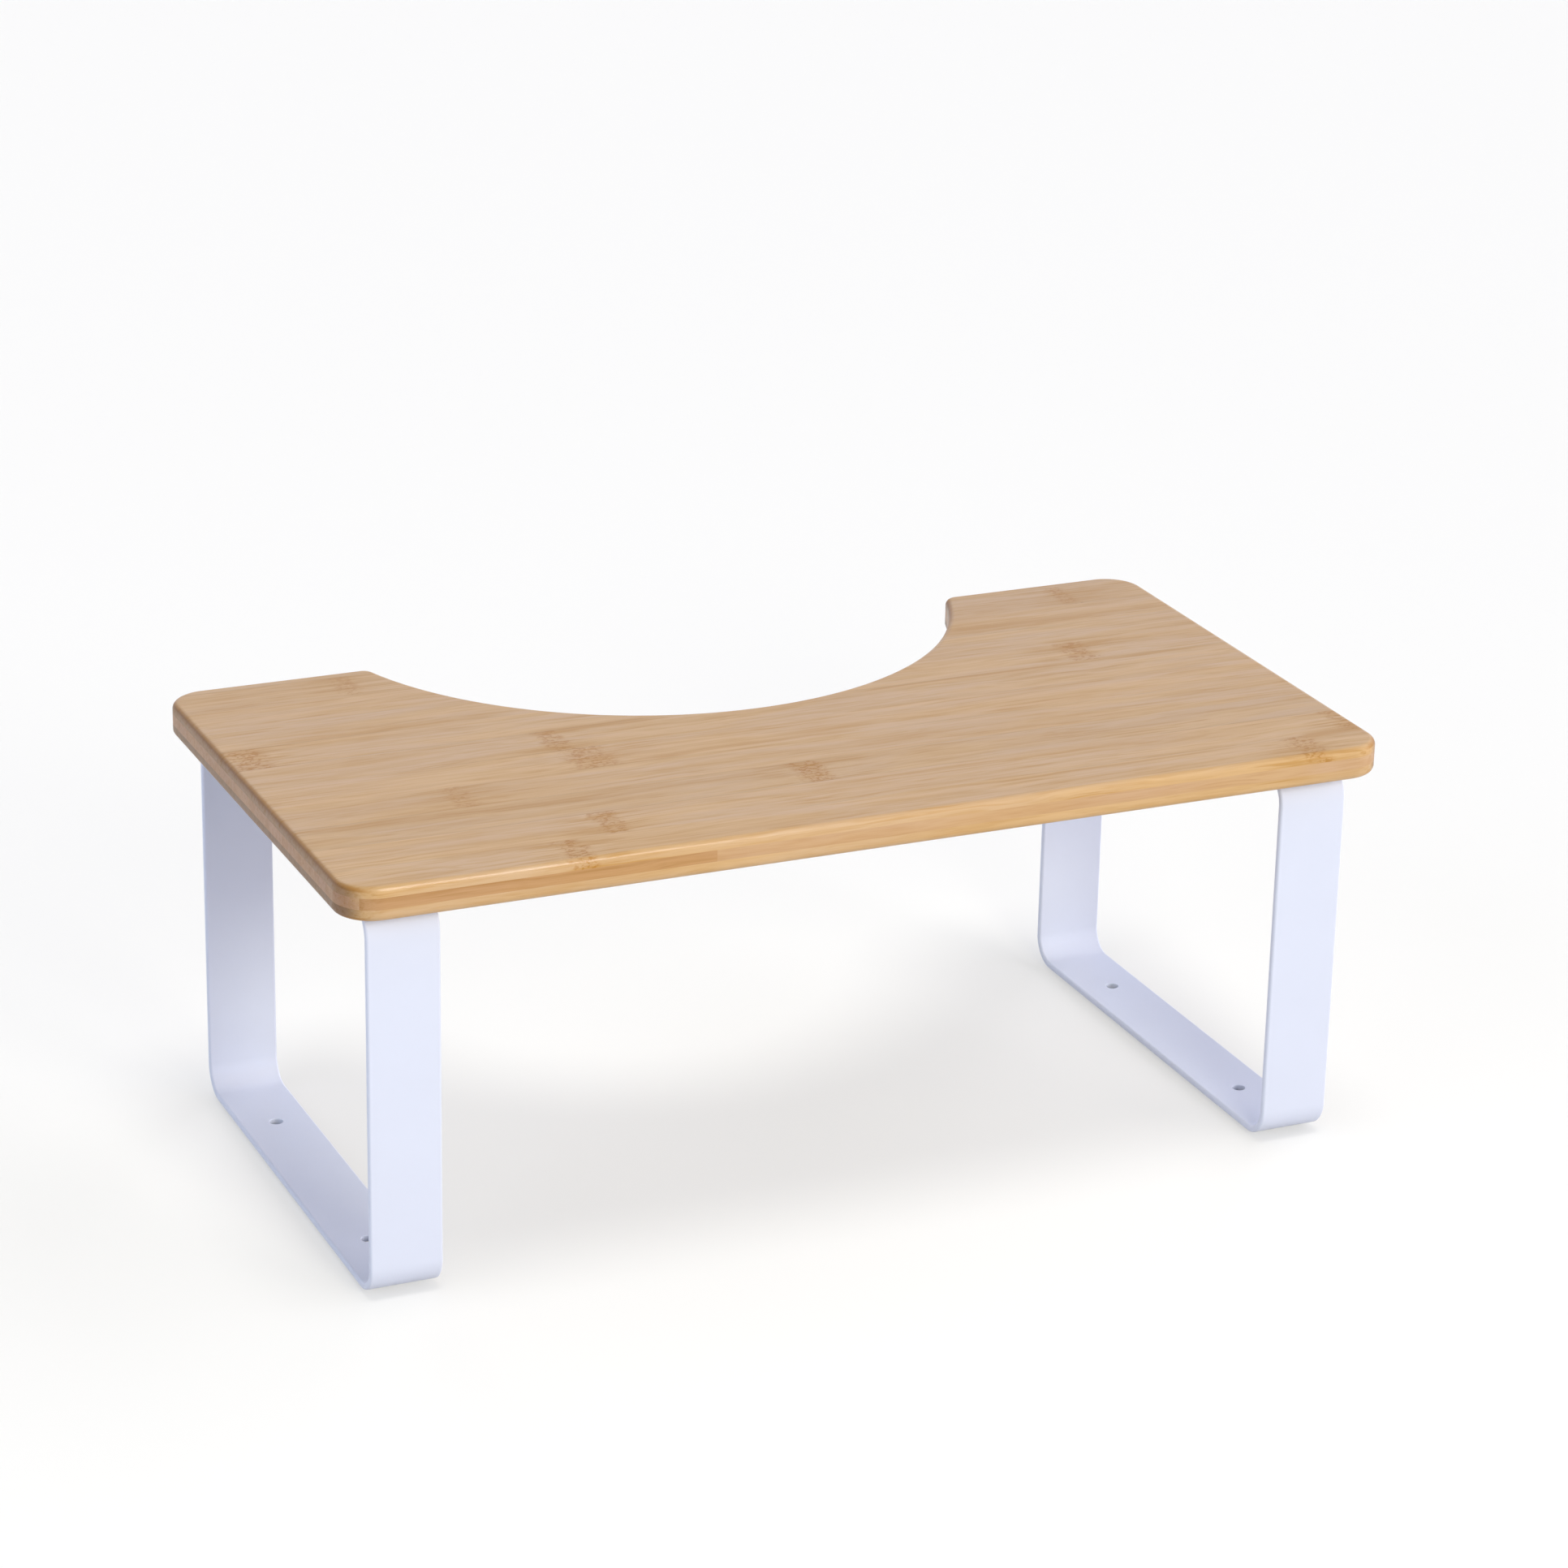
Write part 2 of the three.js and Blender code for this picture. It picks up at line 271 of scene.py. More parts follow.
class Graph:
    """The nodes of a material or of the sky. Most calls add a node and return its output."""

    def __init__(self, owner):
        owner.use_nodes = True
        self.owner = owner
        self.nodes = owner.node_tree.nodes
        self.links = owner.node_tree.links
        self.shader = self.nodes.get("Principled BSDF")

    def feed(self, socket, value):
        """Links an output to the socket, or writes a plain value on it."""
        if isinstance(value, bpy.types.NodeSocket):
            self.links.new(value, socket)
        else:
            socket.default_value = value

    def add(self, kind, inputs=(), **settings):
        """Adds a node with these settings, and feeds its inputs by name or place."""
        node = self.nodes.new(f"ShaderNode{kind}")
        for setting, value in settings.items():
            setattr(node, setting, value)
        for socket, value in dict(inputs).items():
            self.feed(node.inputs[socket], value)
        return node

    def math(self, operation, *values):
        return self.add("Math", enumerate(values), operation=operation).outputs["Value"]

    def vector(self, operation, *values):
        return self.add("VectorMath", enumerate(values), operation=operation).outputs["Vector"]

    def split(self, vector):
        outputs = self.add("SeparateXYZ", {"Vector": vector}).outputs
        return outputs["X"], outputs["Y"], outputs["Z"]

    def join(self, x, y, z):
        return self.add("CombineXYZ", {"X": x, "Y": y, "Z": z}).outputs["Vector"]

    def coordinates(self, output="Object"):
        return self.add("TexCoord").outputs[output]

    def step(self, value, start, end, low=0.0, high=1.0):
        """Goes smoothly from low to high while the value goes from start to end."""
        inputs = enumerate((value, start, end, low, high))
        return self.add("MapRange", inputs, interpolation_type="SMOOTHSTEP").outputs["Result"]

    def noise(self, place, scale, detail=2.0, roughness=0.5):
        inputs = {"Vector": place, "Scale": scale, "Detail": detail, "Roughness": roughness}
        return self.add("TexNoise", inputs).outputs["Fac"]

    def fibres(self, place, scales, detail=2.0, roughness=0.5):
        """Noise drawn out along X. The scales are the one along the fibres and the one across."""
        along, across = scales
        drawn_out = self.vector("MULTIPLY", place, (along, across, across))
        return self.noise(drawn_out, 1.0, detail, roughness)

    def swing(self, noise, reach):
        """Noise about zero, with this much between its ends."""
        return self.math("MULTIPLY", self.math("SUBTRACT", noise, NOISE_MIDDLE), reach)

    def cells(self, place, scale):
        return self.add("TexVoronoi", {"Vector": place, "Scale": scale}).outputs["Distance"]

    def lottery(self, value):
        """A fixed but scattered number and vector for each whole number."""
        outputs = self.add("TexWhiteNoise", {"W": value}, noise_dimensions="1D").outputs
        return outputs["Value"], outputs["Color"]

    def mix(self, share, first, second, blend="MIX"):
        """The first colour where the share is zero, and the second where it is one."""
        inputs = {"Factor": share, MIX_FIRST: first, MIX_SECOND: second}
        return self.add("Mix", inputs, data_type="RGBA", blend_type=blend).outputs[MIX_RESULT]

    def brightness(self, colour, value):
        """The colour times a number."""
        return self.mix(1.0, colour, self.join(value, value, value), "MULTIPLY")

    def any_ray(self, *kinds):
        """One for rays of the given kinds, and zero for the rest."""
        rays = self.add("LightPath").outputs
        value = rays[f"Is {kinds[0]} Ray"]
        for kind in kinds[1:]:
            value = self.math("MAXIMUM", value, rays[f"Is {kind} Ray"])
        return value

    def bump(self, height, distance, strength):
        inputs = {"Height": height, "Distance": distance, "Strength": strength}
        self.feed(self.shader.inputs["Normal"], self.add("Bump", inputs).outputs["Normal"])

    def finish(self, colour, roughness, constants):
        """Feeds the shader. Constants go straight onto its own sockets."""
        self.feed(self.shader.inputs["Base Color"], colour)
        self.feed(self.shader.inputs["Roughness"], roughness)
        for name, value in constants.items():
            self.shader.inputs[name].default_value = value
        return self.owner


def srgb(red, green, blue):
    """A colour written as 0 to 255, as the shader takes it: the standard sRGB curve undone."""
    shares = [value / 255 for value in (red, green, blue)]
    linear = [s / 12.92 if s <= 0.04045 else ((s + 0.055) / 1.055) ** 2.4 for s in shares]
    return (*linear, 1.0)


# Knuckles seen on the top face: stave from the front, X, width along X, and strength
KNUCKLES = [
    (0, -0.1375, 0.008, 0.9),
    (0, 0.204, 0.009, 0.8),
    (1, -0.113, 0.009, 0.8),
    (1, 0.236, 0.008, 0.7),
    (2, -0.010, 0.010, 1.0),
    (3, -0.161, 0.008, 0.5),
    (4, -0.093, 0.014, 0.8),
    (5, -0.100, 0.008, 0.7),
    (6, -0.230, 0.012, 0.9),
    (6, 0.167, 0.010, 0.8),
    (9, -0.161, 0.008, 0.5),
    (9, 0.197, 0.007, 0.6),
]

# Knuckles on the underside, which the photograph doesn't show: one on each stave
UNDERSIDE_STAVES = 10
UNDERSIDE_WIDTH = 0.009
UNDERSIDE_STRENGTH = 0.8
GOLDEN_SHARE = 0.618
BOARD_LENGTH = board_high.x - board_low.x
UNDERSIDE_KNUCKLES = [
    (
        stave,
        board_low.x + GOLDEN_SHARE * stave % 1.0 * BOARD_LENGTH,
        UNDERSIDE_WIDTH,
        UNDERSIDE_STRENGTH,
    )
    for stave in range(1, UNDERSIDE_STAVES)
]

# Long darker streaks seen on the top face: middle X, middle Y, length, width and strength
STREAKS = [
    (0.180, 0.078, 0.160, 0.008, 0.5),
    (-0.075, 0.020, 0.080, 0.005, 0.5),
    (0.140, 0.0185, 0.230, 0.002, 0.7),
    (-0.170, 0.046, 0.140, 0.003, 0.4),
    (-0.165, -0.060, 0.150, 0.008, 0.5),
    (-0.025, -0.026, 0.110, 0.003, 0.6),
    (0.040, -0.020, 0.110, 0.006, 0.4),
    (0.060, -0.083, 0.180, 0.003, 0.5),
    (0.110, -0.106, 0.150, 0.002, 0.5),
    (-0.170, -0.103, 0.060, 0.004, 0.4),
    (0.225, -0.103, 0.040, 0.006, 0.6),
]
STREAK_FULL_SHARE = 0.25

# Below, a pair of scales is a noise's scale along the fibres and the one across them. A step's
# numbers are where it starts and ends, and what it gives there if that isn't zero and one.

# Streaks all over: scales and detail of the noise, and the step that darkens the fibres
STREAK_SIZES = {
    "broad": ((8.0, 130.0), 2.0, (0.42, 0.66, 0.0, 0.32)),
    "medium": ((26.0, 480.0), 2.0, (0.45, 0.66, 0.0, 0.30)),
    "fine": ((70.0, 1700.0), 1.0, (0.42, 0.66, 0.0, 0.20)),
    "thin": ((15.0, 620.0), 1.0, (0.60, 0.72, 0.0, 0.40)),
}

# Each stave's own brightness, and the wavering of its fibres
STAVE_BRIGHTNESS = (0.0, 1.0, 0.97, 1.025)
WAVER_SCALES = (14.0, 34.0)
WAVER_REACH = 0.006

# Rosy patches between the yellow ones
PATCH_SCALES = (11.0, 75.0)
PATCH_STEP = (0.38, 0.62)

# The number of the stave in front of the first seam, and how near two numbers have to be to
# mean the same stave
FRONT_STAVE = -1
SAME_STAVE = 0.5

# Knuckles: ragged bands of short brown marks, in a flare of darker fibres. Shares are of a
# knuckle's width.
RAGGED_SCALES = (120.0, 260.0)
RAGGED_REACH = 0.010
BAND_FULL_SHARE = 0.25
FLARE_FULL_SHARE = 0.5
FLARE_END_SHARE = 4.0
FLARE_DEEPENS = (0.0, 1.0, 1.0, 1.9)
MARK_SCALES = (380.0, 620.0)
MARK_NOISE_ROUGHNESS = 0.6
MARK_STEP = (0.47, 0.60)
MARK_STRENGTH = 0.68
BAND_STRENGTH = 0.19

# Seams between the staves, which fade in and out along their length
SEAM_HALF_WIDTH = 0.00035
SEAM_FADE_SCALES = (14.0, 60.0)
SEAM_FADE = (0.38, 0.62, 0.25, 1.0)
SEAM_BRIGHTNESS = (0.0, 1.0, 1.0, 0.80)

# Sawn ends, by how squarely a face looks along X, and the brown rim where they round over
SAWN_STEP = (0.45, 0.90)
SAWN_SHADE = (1.0, 0.92, 0.97, 1.0)
RIM_STARTS = (0.20, 0.55)
RIM_ENDS = (0.75, 0.97)
RIM_SLOPES = (0.20, 0.50, 0.0, 0.70)
BUNDLE_STRETCH = (60.0, 1.0, 1.0)
BUNDLE_SCALE = 900.0
BUNDLE_STEP = (0.10, 0.50)
BUNDLE_SHADE = 0.95

# Lacquer over the grain: the relief that shows through, its bump, and the gloss
FINE_RELIEF = 0.4
MEDIUM_RELIEF = 0.6
SEAM_RELIEF = 0.6
GRAIN_BUMP_DISTANCE = 0.00005
GRAIN_BUMP_STRENGTH = 0.45
LACQUER_ROUGHNESS = (0.35, 0.70, 0.40, 0.48)
KNUCKLE_ROUGHNESS = 0.05
LACQUER = {"Specular IOR Level": 0.12, "Coat Weight": 0.22, "Coat Roughness": 0.06}


def streak_depth(g, place, x, y, streaks):
    """How dark the fibres are, with the medium and the fine noise that it is made from."""
    depth = 0.0
    noises = {}
    for size, (scales, detail, darkening) in STREAK_SIZES.items():
        noises[size] = g.fibres(place, scales, detail)
        depth = g.math("ADD", depth, g.step(noises[size], *darkening))
    for middle_x, middle_y, length, width, strength in streaks:
        along = g.math("ABSOLUTE", g.math("SUBTRACT", x, middle_x))
        beside = g.math("ABSOLUTE", g.math("SUBTRACT", y, middle_y))
        near = g.step(along, length * STREAK_FULL_SHARE, length / 2, strength, 0.0)
        depth = g.math("ADD", depth, g.math("MULTIPLY", near, g.step(beside, 0.0, width, 1.0, 0.0)))
    return depth, noises["medium"], noises["fine"]


def knuckle_bands(g, place, x, which, knuckles):
    """Strength of the brown band at each knuckle, and of the wider flare of fibres round it."""
    ragged_x = g.math("ADD", x, g.swing(g.fibres(place, RAGGED_SCALES), RAGGED_REACH))
    band = 0.0
    flare = 0.0
    for stave, middle, width, strength in knuckles:
        away = g.math("ABSOLUTE", g.math("SUBTRACT", ragged_x, middle))
        here = g.math("COMPARE", which, float(FRONT_STAVE + stave), SAME_STAVE)
        near = g.step(away, width * BAND_FULL_SHARE, width, strength, 0.0)
        round_it = g.step(away, width * FLARE_FULL_SHARE, width * FLARE_END_SHARE, strength, 0.0)
        band = g.math("ADD", band, g.math("MULTIPLY", near, here))
        flare = g.math("ADD", flare, g.math("MULTIPLY", round_it, here))
    return band, flare


def knuckle_marks(g, place, colour, band, brown):
    """The colour with short brown marks, thickest in the middle of each band."""
    marks = g.step(g.fibres(place, MARK_SCALES, roughness=MARK_NOISE_ROUGHNESS), *MARK_STEP)
    strength = g.math("ADD", g.math("MULTIPLY", marks, MARK_STRENGTH), BAND_STRENGTH)
    return g.mix(g.math("MULTIPLY", band, strength), colour, brown)


def seam_lines(g, place, across, stave):
    """Strength of the lines between the staves."""
    rest = g.math("SUBTRACT", 1.0, across)
    from_seam = g.math("MULTIPLY", g.math("MINIMUM", across, rest), stave)
    line = g.step(from_seam, 0.0, SEAM_HALF_WIDTH, 1.0, 0.0)
    patchy = g.fibres(place, SEAM_FADE_SCALES, detail=1.0)
    return g.math("MULTIPLY", line, g.step(patchy, *SEAM_FADE))


def sawn_ends(g, place, colour, brown, tone):
    """The colour with darker sawn ends, dotted with fibre bundles, and a brown rim to them."""
    normal_x, _, normal_z = g.split(g.coordinates("Normal"))
    facing = g.math("ABSOLUTE", normal_x)
    rim = g.math("SUBTRACT", g.step(facing, *RIM_STARTS), g.step(facing, *RIM_ENDS))
    rim = g.math("MULTIPLY", rim, g.step(g.math("ABSOLUTE", normal_z), *RIM_SLOPES))
    colour = g.mix(rim, colour, brown)
    bundles = g.cells(g.vector("MULTIPLY", place, BUNDLE_STRETCH), BUNDLE_SCALE)
    dots = g.step(bundles, *BUNDLE_STEP)
    dotted = g.brightness(colour, g.step(dots, 0.0, 1.0, tone * BUNDLE_SHADE, tone))
    dotted = g.mix(1.0, dotted, SAWN_SHADE, "MULTIPLY")
    return g.mix(g.step(facing, *SAWN_STEP), colour, dotted)


def bamboo(name, colours, stave, seam, seed, sawn_tone, knuckles=(), streaks=()):
    """Lacquered bamboo: staves side by side along Y, with their fibres along X."""
    pale, blush, deep, brown = colours
    g = Graph(bpy.data.materials.new(name))
    place = g.coordinates()
    x, y, _ = g.split(place)

    # The stave that a point is in, and what is drawn for that stave by lot
    number = g.math("DIVIDE", g.math("SUBTRACT", y, seam), stave)
    which = g.math("FLOOR", number)
    across = g.math("FRACT", number)
    lot, scatter = g.lottery(g.math("ADD", which, seed))
    shifted = g.vector("ADD", place, scatter)

    # Fibres run along X and waver a little
    sway = g.swing(g.fibres(shifted, WAVER_SCALES), WAVER_REACH)
    fibre_place = g.vector("ADD", shifted, g.join(0.0, sway, sway))
    depth, medium, fine = streak_depth(g, fibre_place, x, g.math("ADD", y, sway), streaks)
    band, flare = knuckle_bands(g, shifted, x, which, knuckles)
    depth = g.math("MULTIPLY", depth, g.step(flare, *FLARE_DEEPENS))

    patches = g.step(g.fibres(fibre_place, PATCH_SCALES), *PATCH_STEP)
    seams = seam_lines(g, place, across, stave)
    colour = g.mix(patches, pale, blush)
    colour = g.mix(depth, colour, deep)
    colour = g.brightness(colour, g.step(lot, *STAVE_BRIGHTNESS))
    colour = knuckle_marks(g, fibre_place, colour, band, brown)
    colour = g.brightness(colour, g.step(seams, *SEAM_BRIGHTNESS))
    colour = sawn_ends(g, place, colour, brown, sawn_tone)

    fine_relief = g.math("MULTIPLY", fine, FINE_RELIEF)
    medium_relief = g.math("MULTIPLY", medium, MEDIUM_RELIEF)
    relief = g.math("ADD", fine_relief, medium_relief)
    relief = g.math("SUBTRACT", relief, g.math("MULTIPLY", seams, SEAM_RELIEF))
    g.bump(relief, GRAIN_BUMP_DISTANCE, GRAIN_BUMP_STRENGTH)
    dull = g.math("MULTIPLY", band, KNUCKLE_ROUGHNESS)
    roughness = g.math("ADD", g.step(medium, *LACQUER_ROUGHNESS), dull)
    return g.finish(colour, roughness, LACQUER)


# Powder coat: its colour, its clouds, and the orange peel on its surface
COAT_COLOUR = srgb(220, 225, 237)
COAT_CLOUD_SCALE = 38.0
COAT_CLOUDS = (0.2, 0.8, 0.985, 1.0)
PEEL_SCALE = 430.0
PEEL_BUMP_DISTANCE = 0.00001
PEEL_BUMP_STRENGTH = 0.20
COAT_ROUGHNESS = (0.2, 0.8, 0.36, 0.42)
COAT_GLOSS = {"Specular IOR Level": 0.40, "Coat Weight": 0.10, "Coat Roughness": 0.07}


def powder_coat():
    """Cool white powder coat with a fine orange-peel surface."""
    g = Graph(bpy.data.materials.new("powder_coat"))
    place = g.coordinates()
    cloud = g.noise(place, COAT_CLOUD_SCALE)
    peel = g.noise(place, PEEL_SCALE, detail=1.0)
    colour = g.brightness(COAT_COLOUR, g.step(cloud, *COAT_CLOUDS))
    g.bump(peel, PEEL_BUMP_DISTANCE, PEEL_BUMP_STRENGTH)
    return g.finish(colour, g.step(peel, *COAT_ROUGHNESS), COAT_GLOSS)


# Zinc plate: its two tones, their clouds, and the turning marks
ZINC_BRIGHT = srgb(196, 199, 204)
ZINC_DULL = srgb(178, 182, 186)
ZINC_CLOUD_SCALE = 900.0
ZINC_CLOUDS = (0.35, 0.65)
TURNING_SCALES = (900.0, 900.0, 9000.0)
TURNING_BUMP_DISTANCE = 0.00001
TURNING_BUMP_STRENGTH = 0.4
ZINC_ROUGHNESS = (0.3, 0.7, 0.24, 0.36)


def zinc_plate():
    """Bright zinc plating with faint turning marks and cloudy passivation."""
    g = Graph(bpy.data.materials.new("zinc_plate"))
    place = g.coordinates()
    cloud = g.noise(place, ZINC_CLOUD_SCALE, detail=3.0)
    marks = g.noise(g.vector("MULTIPLY", place, TURNING_SCALES), 1.0)
    colour = g.mix(g.step(cloud, *ZINC_CLOUDS), ZINC_BRIGHT, ZINC_DULL)
    g.bump(marks, TURNING_BUMP_DISTANCE, TURNING_BUMP_STRENGTH)
    return g.finish(colour, g.step(cloud, *ZINC_ROUGHNESS), {"Metallic": 1.0})


# Foam rubber: its colour, the open cells on its skin with painted shade in their pits, and its clouds
FOAM_COLOUR = srgb(205, 206, 208)
FOAM_CELL_SCALE = 2400.0
FOAM_PIT_SHADE = (0.0, 0.5, 0.90, 1.0)
FOAM_CLOUD_SCALE = 350.0
FOAM_CLOUDS = (0.3, 0.7, -0.03, 0.03)
FOAM_BUMP_DISTANCE = 0.00012
FOAM_BUMP_STRENGTH = 0.5
FOAM_ROUGHNESS = (0.3, 0.7, 0.78, 0.90)


def foam_rubber():
    """Pale grey closed-cell foam with open cells on its skin, their pits darkened by painted shade.
    """
    g = Graph(bpy.data.materials.new("foam_rubber"))
    place = g.coordinates()
    cells = g.cells(place, FOAM_CELL_SCALE)
    cloud = g.noise(place, FOAM_CLOUD_SCALE, detail=3.0)
    # Painted shade: the colour is darker in the open cells' pits, where the bump sinks in
    tone = g.math("ADD", g.step(cells, *FOAM_PIT_SHADE), g.step(cloud, *FOAM_CLOUDS))
    g.bump(g.math("ADD", cells, cloud), FOAM_BUMP_DISTANCE, FOAM_BUMP_STRENGTH)
    return g.finish(g.brightness(FOAM_COLOUR, tone), g.step(cloud, *FOAM_ROUGHNESS), {})


# Pale, blush, deep and brown tones of each kind of bamboo
FACE = (srgb(211, 174, 124), srgb(207, 173, 131), srgb(192, 148, 87), srgb(174, 119, 40))
CORE = (srgb(207, 169, 123), srgb(205, 168, 129), srgb(190, 146, 94), srgb(176, 121, 40))
DARK = (srgb(194, 150, 99), srgb(193, 150, 104), srgb(174, 128, 74), srgb(150, 102, 46))
CORE_SEAM = board_low.y - 2 * SEAM_HALF_WIDTH

# Seeds of the staves' lots, and how bright the sawn ends are
TOP_SEED = 3.0
BOTTOM_SEED = 23.0
CORE_SEED = 40.0
DARK_SEED = 80.0
TOP_SAWN = 0.55
BOTTOM_SAWN = 0.445
CORE_SAWN = 0.745

top_bamboo = bamboo(
    "top_bamboo", FACE, FACE_STAVE, FIRST_SEAM, TOP_SEED, TOP_SAWN, KNUCKLES, STREAKS
)
bottom_bamboo = bamboo(
    "bottom_bamboo", FACE, FACE_STAVE, FIRST_SEAM, BOTTOM_SEED, BOTTOM_SAWN, UNDERSIDE_KNUCKLES
)
core_bamboo = bamboo("core_bamboo", CORE, CORE_STAVE, CORE_SEAM, CORE_SEED, CORE_SAWN)
dark_bamboo = bamboo("dark_bamboo", DARK, CORE_STAVE, CORE_SEAM, DARK_SEED, CORE_SAWN)
coat = powder_coat()
zinc = zinc_plate()
foam = foam_rubber()


def screw_seat(side, end):
    """Where a screw's head meets its rail, and the screw's whole length."""
    low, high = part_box(f"{side}_{end}_screw")
    middle = (low + high) / 2
    return Vector((middle.x, middle.y, low.z + HEAD_HEIGHT)), high.z - low.z


def round_cutter(centre, bottom, top, radius, edge_radius=0.0, faces=()):
    """A drill through the given heights, flared out where it meets each face."""
    profile = [(bottom - OVERRUN, radius + edge_radius)]
    for height, inwards in faces:
        start = height + inwards * edge_radius
        flare = [
            (start - inwards * edge_radius * math.sin(a), radius + edge_radius * (1 - math.cos(a)))
            for a in quarter_turn(HOLE_EDGE_STEPS)
        ]
        profile += flare[::-1] if inwards > 0 else flare
    profile.append((top + OVERRUN, radius + edge_radius))
    rings = [
        [
            (centre.x + r * math.cos(a), centre.y + r * math.sin(a), height)
            for a in (i / HOLE_STEPS * math.tau for i in range(HOLE_STEPS))
        ]
        for height, r in profile
    ]
    return loft("cutter", rings)


def drill_for_screws(piece, low, high):
    """Screw holes in a piece of the board, where a screw stands in its box."""
    for side in SIDES:
        for end in ENDS:
            seat, length = screw_seat(side, end)
            top = seat.z + length - HEAD_HEIGHT + TIP_CLEARANCE
            if low.x < seat.x < high.x and low.y < seat.y < high.y and low.z < top:
                cut(piece, round_cutter(seat, seat.z, top - OVERRUN, SCREW_HOLE_RADIUS))


def face_ply(node, material):
    """A face ply, with the part of the board's rounded edge that runs through it."""
    low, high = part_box(node)
    rounding = [EDGE_RADIUS * (1 - math.sin(a)) for a in quarter_turn(EDGE_STEPS)]
    levels = {low.z, high.z}
    levels |= {board_low.z + depth for depth in rounding}
    levels |= {board_high.z - depth for depth in rounding}
    rings = []
    for level in sorted(levels):
        if low.z <= level <= high.z:
            rings.append([(x, y, level) for x, y in board_outline(edge_inset(level))])
    piece = loft(f"fine_{node}", rings)
    drill_for_screws(piece, low, high)
    dress(piece, node, "board_face", material)


def core_stave(node, slot, material):
    """A length of one core row, which ends on the board's outline or on a butt joint."""
    low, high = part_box(node)
    row = math.floor(((low.y + high.y) / 2 - board_low.y) / CORE_STAVE)
    outline = board_outline(0.0)
    outline = clip(outline, ALONG_Y, board_low.y + row * CORE_STAVE, keep_above=True)
    outline = clip(outline, ALONG_Y, board_low.y + (row + 1) * CORE_STAVE, keep_above=False)
    outline = clip(outline, ALONG_X, low.x, keep_above=True)
    outline = clip(outline, ALONG_X, high.x, keep_above=False)
    rings = [[(x, y, level) for x, y in outline] for level in (core_low, core_high)]
    piece = loft(f"fine_{node}", rings)
    drill_for_screws(piece, low, high)
    dress(piece, node, slot, material)


def bar_frame(side):
    """Flat bar swept round a closed ring of four bends, with two pairs of holes."""
    low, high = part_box(f"{side}_frame")
    middle = (low + high) / 2
    bend_y = (high.y - low.y) / 2 - BEND_RADIUS
    bend_z = (high.z - low.z) / 2 - BEND_RADIUS
    section = rounded_rectangle(high.x - low.x, BAR_THICKNESS, BAR_EDGE_RADIUS, BAR_EDGE_STEPS)
    bends = [(bend_y, bend_z), (-bend_y, bend_z), (-bend_y, -bend_z), (bend_y, -bend_z)]
    rings = []
    for turn, (y, z) in enumerate(bends):
        for i in range(BEND_STEPS + 1):
            angle = (turn + i / BEND_STEPS) * QUARTER
            ring = []
            for across, outwards in section:
                radius = BEND_RADIUS - BAR_THICKNESS / 2 + outwards
                offset = (across, y + radius * math.cos(angle), z + radius * math.sin(angle))
                ring.append(middle + Vector(offset))
            rings.append(ring)
    piece = loft(f"fine_{side}_frame", rings, ring_closed=True)
    holes = ((high.z - BAR_THICKNESS, SCREW_HOLE_RADIUS), (low.z, DRIVER_HOLE_RADIUS))
    for end in ENDS:
        seat = screw_seat(side, end)[0]
        for bottom, radius in holes:
            top = bottom + BAR_THICKNESS
            faces = ((bottom, 1), (top, -1))
            cut(piece, round_cutter(seat, bottom, top, radius, HOLE_EDGE_RADIUS, faces))
    dress(piece, f"{side}_frame", "frame_coat", coat)


def cross_cutter(seat):
    """A tapered cross, for the screw's drive recess."""
    half = DRIVE_WIDTH / 2
    arm = DRIVE_LENGTH / 2
    corners = [(arm, -half), (arm, half), (half, half)]
    outline = []
    for turn in range(DRIVE_ARMS):
        c = round(math.cos(turn * QUARTER))
        s = round(math.sin(turn * QUARTER))
        outline += [(c * x - s * y, s * x + c * y) for x, y in corners]
    face = seat.z - HEAD_HEIGHT
    levels = ((face - OVERRUN, 1.0), (face, 1.0), (face + DRIVE_DEPTH, DRIVE_TAPER_SHARE))
    rings = []
    for height, share in levels:
        rings.append([(seat.x + share * x, seat.y + share * y, height) for x, y in outline])
    return loft("cutter", rings)


def screw_profile(tip):
    """Height above the seat, radius and thread depth, from the head's dome to the tip."""
    dome_height = HEAD_HEIGHT - RIM_HEIGHT
    profile = []
    for angle in quarter_turn(DOME_STEPS)[1:]:
        height = -RIM_HEIGHT - dome_height * math.cos(angle)
        profile.append((height, HEAD_RADIUS * math.sin(angle), 0.0))
    profile.append((-RIM_ROUNDING, HEAD_RADIUS, 0.0))
    profile.append((0.0, HEAD_RADIUS - RIM_ROUNDING, 0.0))
    profile.append((0.0, ROOT_RADIUS, 0.0))
    steps = math.ceil((tip - THREAD_START) / THREAD_PITCH * TURNS_STEPS)
    for i in range(steps + 1):
        height = THREAD_START + (tip - THREAD_START) * i / steps
        to_tip = min(1.0, (tip - height) / POINT_LENGTH)
        run_in = min(1.0, (height - THREAD_START) / THREAD_PITCH)
        root = TIP_RADIUS + (ROOT_RADIUS - TIP_RADIUS) * to_tip
        profile.append((height, root, THREAD_DEPTH * to_tip * run_in))
    return profile


def screw(side, end):
    """Pan-head screw, point up, with a rolled thread."""
    seat, length = screw_seat(side, end)
    rings = []
    for height, radius, depth in screw_profile(length - HEAD_HEIGHT):
        ring = []
        for i in range(SCREW_SIDES):
            turn = i / SCREW_SIDES
            phase = (height / THREAD_PITCH - turn) % 1.0
            crest = max(0.0, 1 - abs(2 * phase - 1) * THREAD_STEEPNESS)
            r = radius + depth * crest
            angle = turn * math.tau
            ring.append(seat + Vector((r * math.cos(angle), r * math.sin(angle), height)))
        rings.append(ring)
    piece = loft(f"fine_{side}_{end}_screw", rings)
    cut(piece, cross_cutter(seat))
    dress(piece, f"{side}_{end}_screw", "screw", zinc)


